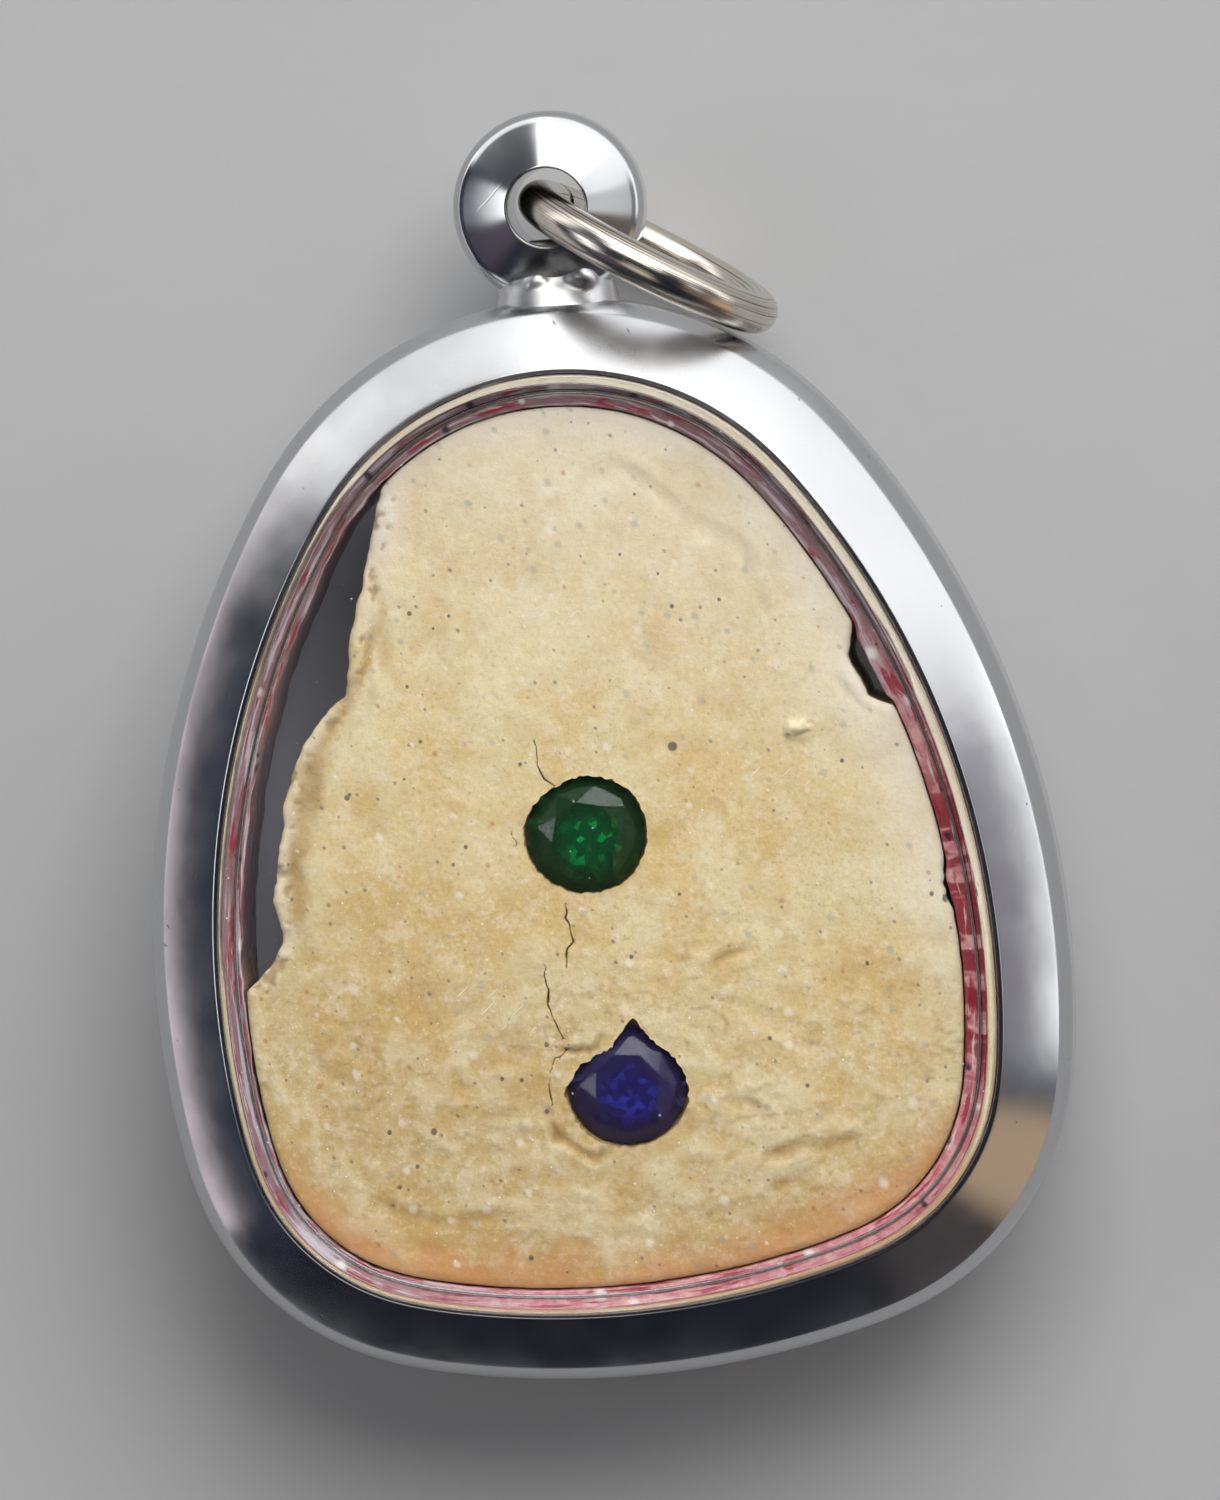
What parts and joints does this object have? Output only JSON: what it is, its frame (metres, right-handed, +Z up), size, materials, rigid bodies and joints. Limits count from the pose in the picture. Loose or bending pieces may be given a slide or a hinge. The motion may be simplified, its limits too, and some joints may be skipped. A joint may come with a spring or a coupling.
{
  "type": "amulet pendant in a sealed case",
  "caption": "Egg-shaped pendant case with clear raised windows over a pressed clay tablet set with two cut stones, a round bail and a wire ring.",
  "frame": {"origin": "middle of the case outline on the flat face of the front window, which the pendant lies on", "axes": "+Z up out of the back window, +Y from the case towards the bail, +X across the case"},
  "size_m": [0.033, 0.0456, 0.011],
  "materials": {
    "polished_steel": "polished stainless steel",
    "clear_acrylic": "clear polished acrylic",
    "red_seal": "soft sealing ring",
    "pressed_clay": "unglazed pressed powder",
    "green_glass": "cut and polished",
    "blue_glass": "cut and polished",
    "ring_wire": "drawn plated wire"
  },
  "bodies": {
    "case": {"case_frame": "polished_steel", "back_window": "clear_acrylic", "front_window": "clear_acrylic", "seal_ring": "red_seal", "clay_tablet": "pressed_clay", "green_stone": "green_glass", "blue_stone": "blue_glass"},
    "ring": {"jump_ring": "ring_wire"}
  },
  "joints": [
    {"name": "ring_swing", "type": "hinge", "parent": "case", "child": "ring", "pos_m": [0, 0.02276, 0.0055], "axis": [0, 0, 1], "range_deg": [0, 242]}
  ]
}
